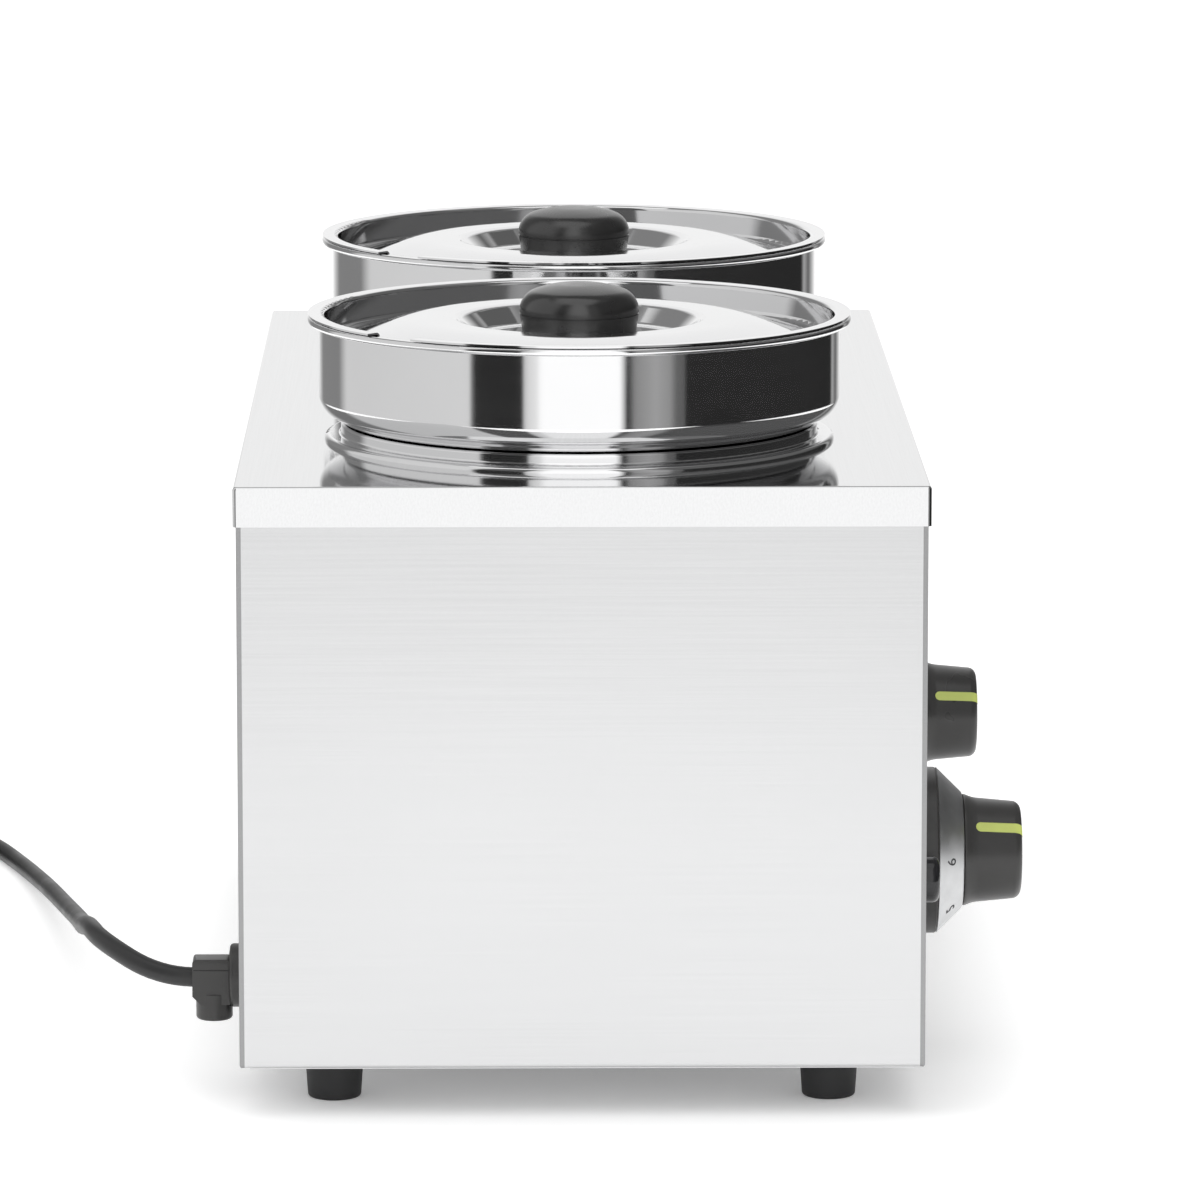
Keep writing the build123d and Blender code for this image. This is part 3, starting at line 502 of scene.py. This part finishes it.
class BAINMARIE_OT_gland(Operator):
    """Moulds the cable gland: round plate, clamp in two halves and the screw that closes it"""

    bl_idname = "bainmarie.gland"
    bl_label = "Cable gland"

    def clamp(self):
        """The block round the lead, with its halves' parting line and a bevelled foot"""
        block = bmesh.new()
        bmesh.ops.create_cube(block, size=1)
        bmesh.ops.scale(block, verts=block.verts, vec=clamp_high - clamp_low)
        bmesh.ops.translate(block, verts=block.verts, vec=(clamp_low + clamp_high) / 2)
        foot = [edge for edge in block.edges
                if all(v.co.z < 0 and v.co.y > clamp_high.y / 2 for v in edge.verts)]
        bmesh.ops.bevel(
            block, geom=foot, offset=clamp_foot_bevel, affect="EDGES",
            segments=1, profile=0.5, material=-1,
        )
        top = [edge for edge in block.edges
               if all(v.co.z > clamp_high.z * 0.95 for v in edge.verts)]
        bmesh.ops.bevel(
            block, geom=top, offset=clamp_top_bevel, affect="EDGES",
            segments=5, profile=0.5, material=-1,
        )
        for height in (groove_low, groove_high):
            bmesh.ops.bisect_plane(
                block, geom=everything(block), plane_co=(0, 0, height), plane_no=(0, 0, 1)
            )
        band = [face for face in block.faces
                if groove_low < face.calc_center_median().z < groove_high]
        bmesh.ops.inset_region(
            block, faces=band, thickness=0, depth=-groove_depth, use_even_offset=True
        )
        bmesh.ops.recalc_face_normals(block, faces=block.faces)
        return block

    def execute(self, context):
        black = moulding("gland_moulding", context.scene.bainmarie_colours.moulding, 0.36)
        plate = placed(
            spun(plate_line + plate_line[:1], plate_bends + [0], 64), "gland_plate",
            facing_rear(gland_x, gland_z + plate_lift), black,
        )
        stands_for(plate, "gland_flange", "housing")
        place = Matrix.Translation((gland_x, rear, gland_z))
        block = placed(self.clamp(), "gland_clamp", place, black, 25)
        stands_for(block, "clamp_block", "housing")
        under = Matrix.Translation((gland_x, rear + clamp_screw_reach, gland_z))
        turned = spun(clamp_screw_line, clamp_screw_bends, 64)
        screw = placed(turned, "gland_screw", under, black)
        stands_for(screw, "clamp_screw", "housing")
        return {"FINISHED"}


painted_edge_tone = 0.50                             # tone of the painted dark reflection along the cut and folded edges, against the sheet
painted_end_width, painted_fold_width = 0.0008, 0.0011         # how far in the painted dark edges reach


class BAINMARIE_OT_body(Operator):
    """Gives the body's sheet steel its brushed finish, with a painted dark reflection along its
    edges
    """

    bl_idname = "bainmarie.body"
    bl_label = "Body"

    def execute(self, context):
        steel = context.scene.bainmarie_colours.sheet_steel
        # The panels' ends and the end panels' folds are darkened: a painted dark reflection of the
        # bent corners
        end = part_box("front_panel")[1].x - painted_end_width
        long_sheet = brushed_steel("front_sheet", steel, (10, 700, 1300), 0.22, ("X", 0, end))
        dress(long_sheet, "front_panel", "rear_panel")
        low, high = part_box("end_panel_left")
        painted_fold = ("Y", (low.y + high.y) / 2, (high.y - low.y) / 2 - painted_fold_width)
        end_sheet = brushed_steel("end_sheet", steel, (700, 10, 1300), 0.22, painted_fold)
        dress(end_sheet, *both("end_panel"))
        deck = context.scene.bainmarie_colours.deck_steel
        dress(brushed_steel("deck_sheet", deck, (10, 1300, 700), 0.06), "deck")
        dress(brushed_steel("base_sheet", steel, (20, 1100, 900), 0.34), "base_plate")
        return {"FINISHED"}


# A pot's underside in metres from its axis and the deck's top, and the length each bend takes
pot_line = [
    (0, -0.1500), (0.0985, -0.1500), (0.0985, 0.00672), (0.1113, 0.01411), (0.1113, 0.0525),
    (0.1154, 0.0525), (0.1154, 0.0509), (0.1132, 0.0509),
]
pot_bends = [0, 0.0100, 0.0017, 0.0052, 0.0010, 0.00072, 0.00072, 0]
pot_sheet = 0.0008


def looks_up(shape, bottom):
    """Whether the face nearest to the axis, at the bottom, has its normal upwards"""
    def off(face):
        centre = face.calc_center_median()
        return centre.length_squared + (centre.z - bottom) ** 2 * 100

    return min(shape.faces, key=off).normal.z > 0


class BAINMARIE_OT_pots(Operator):
    """Draws the two pots and polishes them, their lids and the wells"""

    bl_idname = "bainmarie.pots"
    bl_label = "Pots and lids"

    def execute(self, context):
        steel = context.scene.bainmarie_colours.pressed_steel
        polish = polished_steel("polished_pressing", steel, abs(middle("pot_left").x))
        dress(polish, *both("lid", "well"))
        for side in sides:
            axis = middle(f"pot_{side}")
            deck_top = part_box(f"pot_{side}")[0].z - pot_line[0][1]
            wall = spun(pot_line, pot_bends, 160)
            if looks_up(wall, pot_line[0][1]):
                bmesh.ops.reverse_faces(wall, faces=wall.faces)
            place = Matrix.Translation((axis.x, axis.y, deck_top))
            pot = placed(wall, f"drawn_pot_{side}", place, polish, 60)
            sheet = pot.modifiers.new("sheet", "SOLIDIFY")
            sheet.thickness = pot_sheet
            sheet.offset = -1
            sheet.use_even_offset = True
            stands_for(pot, f"pot_{side}", f"pot_{side}")
        return {"FINISHED"}


# A lid knob's outline in metres from its axis and its seat: skirt, seam groove and dome
lid_knob_line = [
    (0, 0), (0.0240, 0), (0.0255, 0.0098), (0.0249, 0.0099), (0.0249, 0.0105),
    (0.0255, 0.0106), (0.0255, 0.0176), (0.0140, 0.0222), (0, 0.0230),
]
lid_knob_bends = [0, 0.0012, 0, 0, 0, 0, 0.0060, 0.0058, 0]


class BAINMARIE_OT_lid_knobs(Operator):
    """Moulds the domed knobs of the lids"""

    bl_idname = "bainmarie.lid_knobs"
    bl_label = "Lid knobs"

    def execute(self, context):
        colour = context.scene.bainmarie_colours.lid_knob
        black = moulding("lid_knob_moulding", colour, 0.25, Specular_IOR_Level=0.95)
        for side in sides:
            node = f"lid_knob_{side}"
            seat = middle(node)
            place = Matrix.Translation((seat.x, seat.y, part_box(node)[0].z))
            dome = spun(lid_knob_line, lid_knob_bends, 96)
            knob = placed(dome, f"domed_knob_{side}", place, black)
            stands_for(knob, node, f"lid_{side}")
        return {"FINISHED"}


class BAINMARIE_OT_fittings(Operator):
    """Finishes the screws, the heating parts and the wiring inside the body"""

    bl_idname = "bainmarie.fittings"
    bl_label = "Fittings"

    def execute(self, context):
        colours = context.scene.bainmarie_colours
        zinc = plated("zinc_plate", colours.zinc, 0.34)
        dress(zinc, "base_screws", "heater_nuts", "thermostat_screws", "foot_screws")
        dress(zinc, *both("heater_clamp", "lid_knob_screw", "thermostat_body", "thermostat_shaft"))
        dress(plated("element_sheath", colours.element, 0.48, 60.0), *both("heating_element"))
        dress(plated("copper_tube", colours.copper, 0.30, 70.0), *both("capillary_bulb"))
        dress(plated("pin_metal", colours.pins, 0.22), "plug_pins")
        dress(moulding("limiter_resin", colours.resin, 0.45), *both("dry_run_limiter"))
        dress(moulding("terminal_plastic", colours.terminal, 0.42), "terminal_block")
        dress(moulding("wire_sleeve", colours.sleeve, 0.60), "wiring_loom")
        return {"FINISHED"}


class BAINMARIE_OT_controls(Operator):
    """Finishes the dials, switches, plug and feet"""

    bl_idname = "bainmarie.controls"
    bl_label = "Controls"

    def execute(self, context):
        colours = context.scene.bainmarie_colours
        black = moulding("black_moulding", colours.moulding, 0.33)
        dress(black, *both("dial_bezel", "switch_housing"))
        dress(black, "coil_tie", "plug_body")
        dress(plated("silver_dial", colours.dial, 0.40, 60.0), *both("dial_plate"))
        dress(moulding("rocker_plastic", colours.rocker, 0.28), *both("switch_rocker"))
        cap = moulding("smoked_cap", colours.cap, 0.12, grain=400.0, depth=0.000004)
        dress(cap, *both("switch_cap"))
        rubber = moulding("black_rubber", colours.rubber, 0.62, grain=900.0, depth=0.00003)
        dress(rubber, *(f"foot_{side}_{end}" for side in sides for end in ("front", "rear")))
        return {"FINISHED"}


# A control knob's outline, as radius and reach from the front panel, and its pointer strip
knob_line = [
    (0, 0.0214), (0.0239, 0.0214), (0.0239, 0.0222), (0.0225, 0.0256), (0.0206, 0.04622),
    (0, 0.04622),
]
knob_bends = [0, 0.0003, 0.0006, 0.0018, 0.0035, 0]
strip_width, strip_foot, strip_depth = 0.0044, 0.0263, 0.0008
strip_inner_end = 0.005                           # its least distance from the knob's axis
strip_proud = 0.00008
pointer_turns = {"left": 307, "right": 300}       # degrees clockwise from the top


class BAINMARIE_OT_control_knobs(Operator):
    """Moulds the control knobs and lets the coloured pointer strips into them"""

    bl_idname = "bainmarie.control_knobs"
    bl_label = "Control knobs"

    def strip(self):
        """The part of the grip's skin that the pointer takes up, round at its inner end"""
        proud = [
            (radius + strip_proud if radius else 0, reach + strip_proud)
            for radius, reach in knob_line
        ]
        skin = spun(proud, knob_bends, 360)
        end = Vector((0, 0, strip_foot + strip_width / 2))
        cuts = [(Vector((0, strip_inner_end, 0)), Vector((0, -1, 0)))]
        for turn in range(-180, 1, 20):
            way = Vector((cos(radians(turn)), 0, sin(radians(turn))))
            cuts.append((end + way * strip_width / 2, way))
        for place, normal in cuts:
            bmesh.ops.bisect_plane(
                skin, geom=everything(skin), plane_co=place, plane_no=normal, clear_outer=True
            )
        return skin

    def execute(self, context):
        colours = context.scene.bainmarie_colours
        black = moulding("knob_moulding", colours.moulding, 0.30)
        lime = moulding("lime_inlay", colours.lime, 0.40)
        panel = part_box("front_panel")[0].y
        for side in sides:
            axis = middle(f"dial_plate_{side}")
            place = Matrix.Translation((axis.x, panel, axis.z))
            place = place @ Matrix.Rotation(radians(90), 4, "X")
            place = place @ Matrix.Rotation(-radians(pointer_turns[side]), 4, "Z")
            knob = placed(spun(knob_line, knob_bends), f"knob_grip_{side}", place, black)
            stands_for(knob, f"control_knob_{side}", f"knob_{side}")
            strip = placed(self.strip(), f"pointer_strip_{side}", place, lime, 50)
            wall = strip.modifiers.new("inlay", "SOLIDIFY")
            wall.thickness = strip_depth
            wall.offset = -1
            stands_for(strip, f"pointer_insert_{side}", f"knob_{side}")
        return {"FINISHED"}


# The figures' places on the dial, in degrees clockwise from the top
figure_places = {"1": 40, "2": 86, "3": 132, "4": 178, "5": 225, "6": 271}
# The dial cone's foot and top as radius and reach from the panel, and how far inside its line the
# middle of the ink lies
cone_foot, cone_top = Vector((0.0349, 0.0096)), Vector((0.02435, 0.0203))
ink_inset = -0.00082
digit_share = 0.69                # a digit's height in the built-in font, of the font's size


class BAINMARIE_OT_figures(Operator):
    """Prints the plain figures round each dial's cone"""

    bl_idname = "bainmarie.figures"
    bl_label = "Dial figures"

    def digit(self, context, figure):
        """The flat mesh of one figure"""
        sizes = context.scene.bainmarie_sizes
        text = bpy.data.curves.new("figure", "FONT")
        text.body = figure
        text.size = sizes.figure_height / digit_share
        text.align_x, text.align_y = "CENTER", "CENTER"
        text.extrude = sizes.figure_ink
        text.resolution_u = 6
        holder = bpy.data.objects.new("figure", text)
        context.scene.collection.objects.link(holder)
        context.view_layer.update()
        mesh = bpy.data.meshes.new_from_object(holder)
        bpy.data.objects.remove(holder)
        return mesh

    def execute(self, context):
        ink = moulding("dial_ink", context.scene.bainmarie_colours.figures, 0.55)
        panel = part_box("front_panel")[0].y
        slope = (cone_top - cone_foot).normalized()
        at = cone_foot + (cone_top - cone_foot) * 0.5 + Vector((-slope.y, slope.x)) * ink_inset
        for side in sides:
            centre = middle(f"dial_plate_{side}")
            figures = bmesh.new()
            for figure, angle in figure_places.items():
                mesh = self.digit(context, figure)
                turn = radians(angle)
                out = Vector((sin(turn), 0, cos(turn)))
                right = Vector((cos(turn), 0, -sin(turn)))
                up = (out * -slope.x + Vector((0, 1, 0)) * slope.y).normalized()
                place = Matrix((right, up, right.cross(up))).transposed().to_4x4()
                place.translation = Vector((centre.x, panel - at.y, centre.z)) + out * at.x
                mesh.transform(place)
                figures.from_mesh(mesh)
                bpy.data.meshes.remove(mesh)
            bmesh.ops.remove_doubles(figures, verts=figures.verts, dist=0.000005)
            bmesh.ops.recalc_face_normals(figures, faces=figures.faces)
            mesh = bpy.data.meshes.new(f"dial_figures_{side}")
            figures.to_mesh(mesh)
            figures.free()
            mesh.materials.append(ink)
            printed = bpy.data.objects.new(f"dial_figures_{side}", mesh)
            context.scene.collection.objects.link(printed)
            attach(printed, "housing")
        return {"FINISHED"}


# What the polished pots reflect: degrees from the camera's side towards -Y, and brightness
screen_bands = [
    (-180, 0.80), (-166, 0.80), (-150, 0.20), (-124, 0.20), (-116, 0.58), (-43, 0.62),
    (-42, 0.02), (-22, 0.02), (-21, 0.62), (-17, 0.75), (-15, 1.0), (15, 1.0), (16, 0.02),
    (17.5, 0.02), (20, 0.24), (28, 0.33), (34, 0.26), (36, 0.12), (39.5, 0.10), (40.6, 0.02),
    (140, 0.02), (143, 0.35), (150, 0.10), (166, 0.80), (180, 0.80),
]
screen_radius, screen_height, screen_strength = 1.3, 2.2, 1.2
# Heights between which a haze comes over the bands, and its brightness
haze_from, haze_to, haze_tone = 0.35, 0.75, 0.10
# The sky's brightness straight overhead in mirrors, and the share of straight up from which it
# falls to that
ceiling, ceiling_from, ceiling_to = 0.22, 0.60, 0.85
# The floor's own light to the camera, under the body and away from it, lower under the body as a
# painted shadow; how far that painted shadow reaches from the middle, and how wide its edge is
floor_lift = (0.15, 0.47)
painted_shadow_reach, painted_shadow_fade = (0.262, 0.118), 0.075
floor_white, floor_size = (0.93, 0.93, 0.93), 40
lamps_aim = Vector((0, 0, 0.2))


class BAINMARIE_OT_studio(Operator):
    """Lays the pale floor and sets up soft light"""

    bl_idname = "bainmarie.studio"
    bl_label = "Studio"

    def floor(self, context):
        mesh = bpy.data.meshes.new("studio_floor")
        sheet = bmesh.new()
        bmesh.ops.create_grid(sheet, x_segments=1, y_segments=1, size=floor_size)
        sheet.to_mesh(mesh)
        sheet.free()
        white = Finish("studio_floor", floor_white, roughness=0.9)
        # painted shadow: the floor's added glow is lower within the body's footprint and rises
        # outside it
        place = white.split(white.place)
        beside = white.node("ShaderNodeCombineXYZ")
        for axis, reach in zip("XY", painted_shadow_reach):
            past = white.maths("SUBTRACT", white.maths("ABSOLUTE", place[axis]), reach)
            white.join(white.maths("MAXIMUM", past, 0), beside.inputs[axis])
        away = white.node("ShaderNodeVectorMath", operation="LENGTH")
        white.join(beside.outputs[0], away.inputs[0])
        raised = white.span(away.outputs["Value"], *floor_lift, 0, painted_shadow_fade)
        lift = white.node("ShaderNodeEmission")
        white.join(white.maths("MULTIPLY", white.seen(), raised), lift.inputs["Strength"])
        add = white.node("ShaderNodeAddShader")
        white.join(white.shader.outputs[0], add.inputs[0])
        white.join(lift.outputs[0], add.inputs[1])
        white.join(add.outputs[0], white.tree.nodes["Material Output"].inputs["Surface"])
        mesh.materials.append(white.material)
        floor = bpy.data.objects.new("studio_floor", mesh)
        context.scene.collection.objects.link(floor)

    def bands(self):
        """The screen's finish: upright bands that only shine, under a haze"""
        material = bpy.data.materials.new("studio_screen")
        material.use_nodes = True
        screen = Nodes(material.node_tree)
        screen.tree.nodes.remove(screen.tree.nodes["Principled BSDF"])
        place = screen.split(screen.node("ShaderNodeTexCoord").outputs["Object"])
        towards = [screen.maths("MULTIPLY", place[axis], -1) for axis in "YX"]
        share = screen.span(screen.maths("ARCTAN2", *towards), 0, 1, -pi, pi)
        ramp = screen.node("ShaderNodeValToRGB")
        stops = ramp.color_ramp.elements
        while len(stops) < len(screen_bands):
            stops.new(0.5)
        for stop, (where, level) in zip(stops, screen_bands):
            stop.position = (where + 180) / 360
            stop.color = (level, level, level, 1)
        screen.join(share, ramp.inputs["Fac"])
        haze = screen.span(place["Z"], 0, haze_tone, haze_from, haze_to)
        shine = screen.node("ShaderNodeEmission")
        shine.inputs["Strength"].default_value = screen_strength
        screen.join(screen.blend("LIGHTEN", 1, ramp.outputs["Color"], haze), shine.inputs["Color"])
        screen.join(shine.outputs[0], screen.tree.nodes["Material Output"].inputs["Surface"])
        return material

    def screen(self, context):
        """The studio's light and dark walls, which only reflections see"""
        mesh = bpy.data.meshes.new("studio_screen")
        ring = bmesh.new()
        bmesh.ops.create_circle(ring, segments=96, radius=screen_radius)
        rim = bmesh.ops.extrude_edge_only(ring, edges=ring.edges[:])["geom"]
        raised = [part for part in rim if isinstance(part, bmesh.types.BMVert)]
        bmesh.ops.translate(ring, verts=raised, vec=(0, 0, screen_height))
        ring.to_mesh(mesh)
        ring.free()
        mesh.materials.append(self.bands())
        screen = bpy.data.objects.new("studio_screen", mesh)
        context.scene.collection.objects.link(screen)
        screen.visible_camera = False
        screen.visible_diffuse = False
        screen.visible_shadow = False
        screen.visible_transmission = False

    def lamp(self, context, name, power, size, place):
        data = bpy.data.lights.new(name, "AREA")
        data.energy = power
        data.size = size
        lamp = bpy.data.objects.new(name, data)
        lamp.location = place
        lamp.rotation_euler = (lamps_aim - Vector(place)).to_track_quat("-Z", "Y").to_euler()
        lamp.visible_camera = False
        context.scene.collection.objects.link(lamp)

    def sky(self, context):
        """Even light from all round; the camera and mirrors see white, darker overhead"""
        world = bpy.data.worlds.new("studio_sky")
        context.scene.world = world
        world.use_nodes = True
        sky = Nodes(world.node_tree)
        way = sky.split(sky.node("ShaderNodeTexCoord").outputs["Generated"])
        overhead = sky.span(way["Z"], 1.0, ceiling, ceiling_from, ceiling_to)
        level = sky.span(sky.seen(), context.scene.bainmarie_studio.sky, overhead, 0, 1)
        back = world.node_tree.nodes["Background"]
        back.inputs["Color"].default_value = (1, 1, 1, 1)
        sky.join(level, back.inputs["Strength"])

    def execute(self, context):
        studio = context.scene.bainmarie_studio
        self.floor(context)
        self.screen(context)
        self.lamp(context, "key_light", studio.key_power, 2.4, (-0.9, 0.3, 2.5))
        self.lamp(context, "fill_light", studio.fill_power, 1.6, (-2.4, -0.8, 1.3))
        self.sky(context)
        context.scene.view_settings.view_transform = "Standard"
        return {"FINISHED"}


class BAINMARIE_PT_sidebar(Panel):
    """The model's settings and steps, in the 3D view's sidebar"""

    bl_label = "Bain marie"
    bl_idname = "BAINMARIE_PT_sidebar"
    bl_space_type = "VIEW_3D"
    bl_region_type = "UI"
    bl_category = "Bain marie"

    def draw(self, context):
        for settings in ("bainmarie_colours", "bainmarie_sizes", "bainmarie_studio"):
            group = getattr(context.scene, settings)
            box = self.layout.box()
            for name in group.__annotations__:
                box.prop(group, name)
        for step in steps:
            self.layout.operator(step.bl_idname)


groups = {
    "bainmarie_colours": BainMarieColours,
    "bainmarie_sizes": BainMarieSizes,
    "bainmarie_studio": BainMarieStudio,
}
steps = (
    BAINMARIE_OT_camera,
    BAINMARIE_OT_lead,
    BAINMARIE_OT_gland,
    BAINMARIE_OT_body,
    BAINMARIE_OT_pots,
    BAINMARIE_OT_lid_knobs,
    BAINMARIE_OT_fittings,
    BAINMARIE_OT_controls,
    BAINMARIE_OT_control_knobs,
    BAINMARIE_OT_figures,
    BAINMARIE_OT_studio,
)


def register():
    for group in groups.values():
        bpy.utils.register_class(group)
    for step in (*steps, BAINMARIE_PT_sidebar):
        bpy.utils.register_class(step)
    for name, group in groups.items():
        setattr(bpy.types.Scene, name, PointerProperty(type=group))


def unregister():
    for name in groups:
        delattr(bpy.types.Scene, name)
    for step in (BAINMARIE_PT_sidebar, *reversed(steps)):
        bpy.utils.unregister_class(step)
    for group in reversed(groups.values()):
        bpy.utils.unregister_class(group)


def main():
    register()
    for step in steps:
        area, name = step.bl_idname.split(".")
        if getattr(getattr(bpy.ops, area), name)() != {"FINISHED"}:
            raise RuntimeError(f"{step.bl_label} did not finish")


if __name__ == "__main__":
    main()
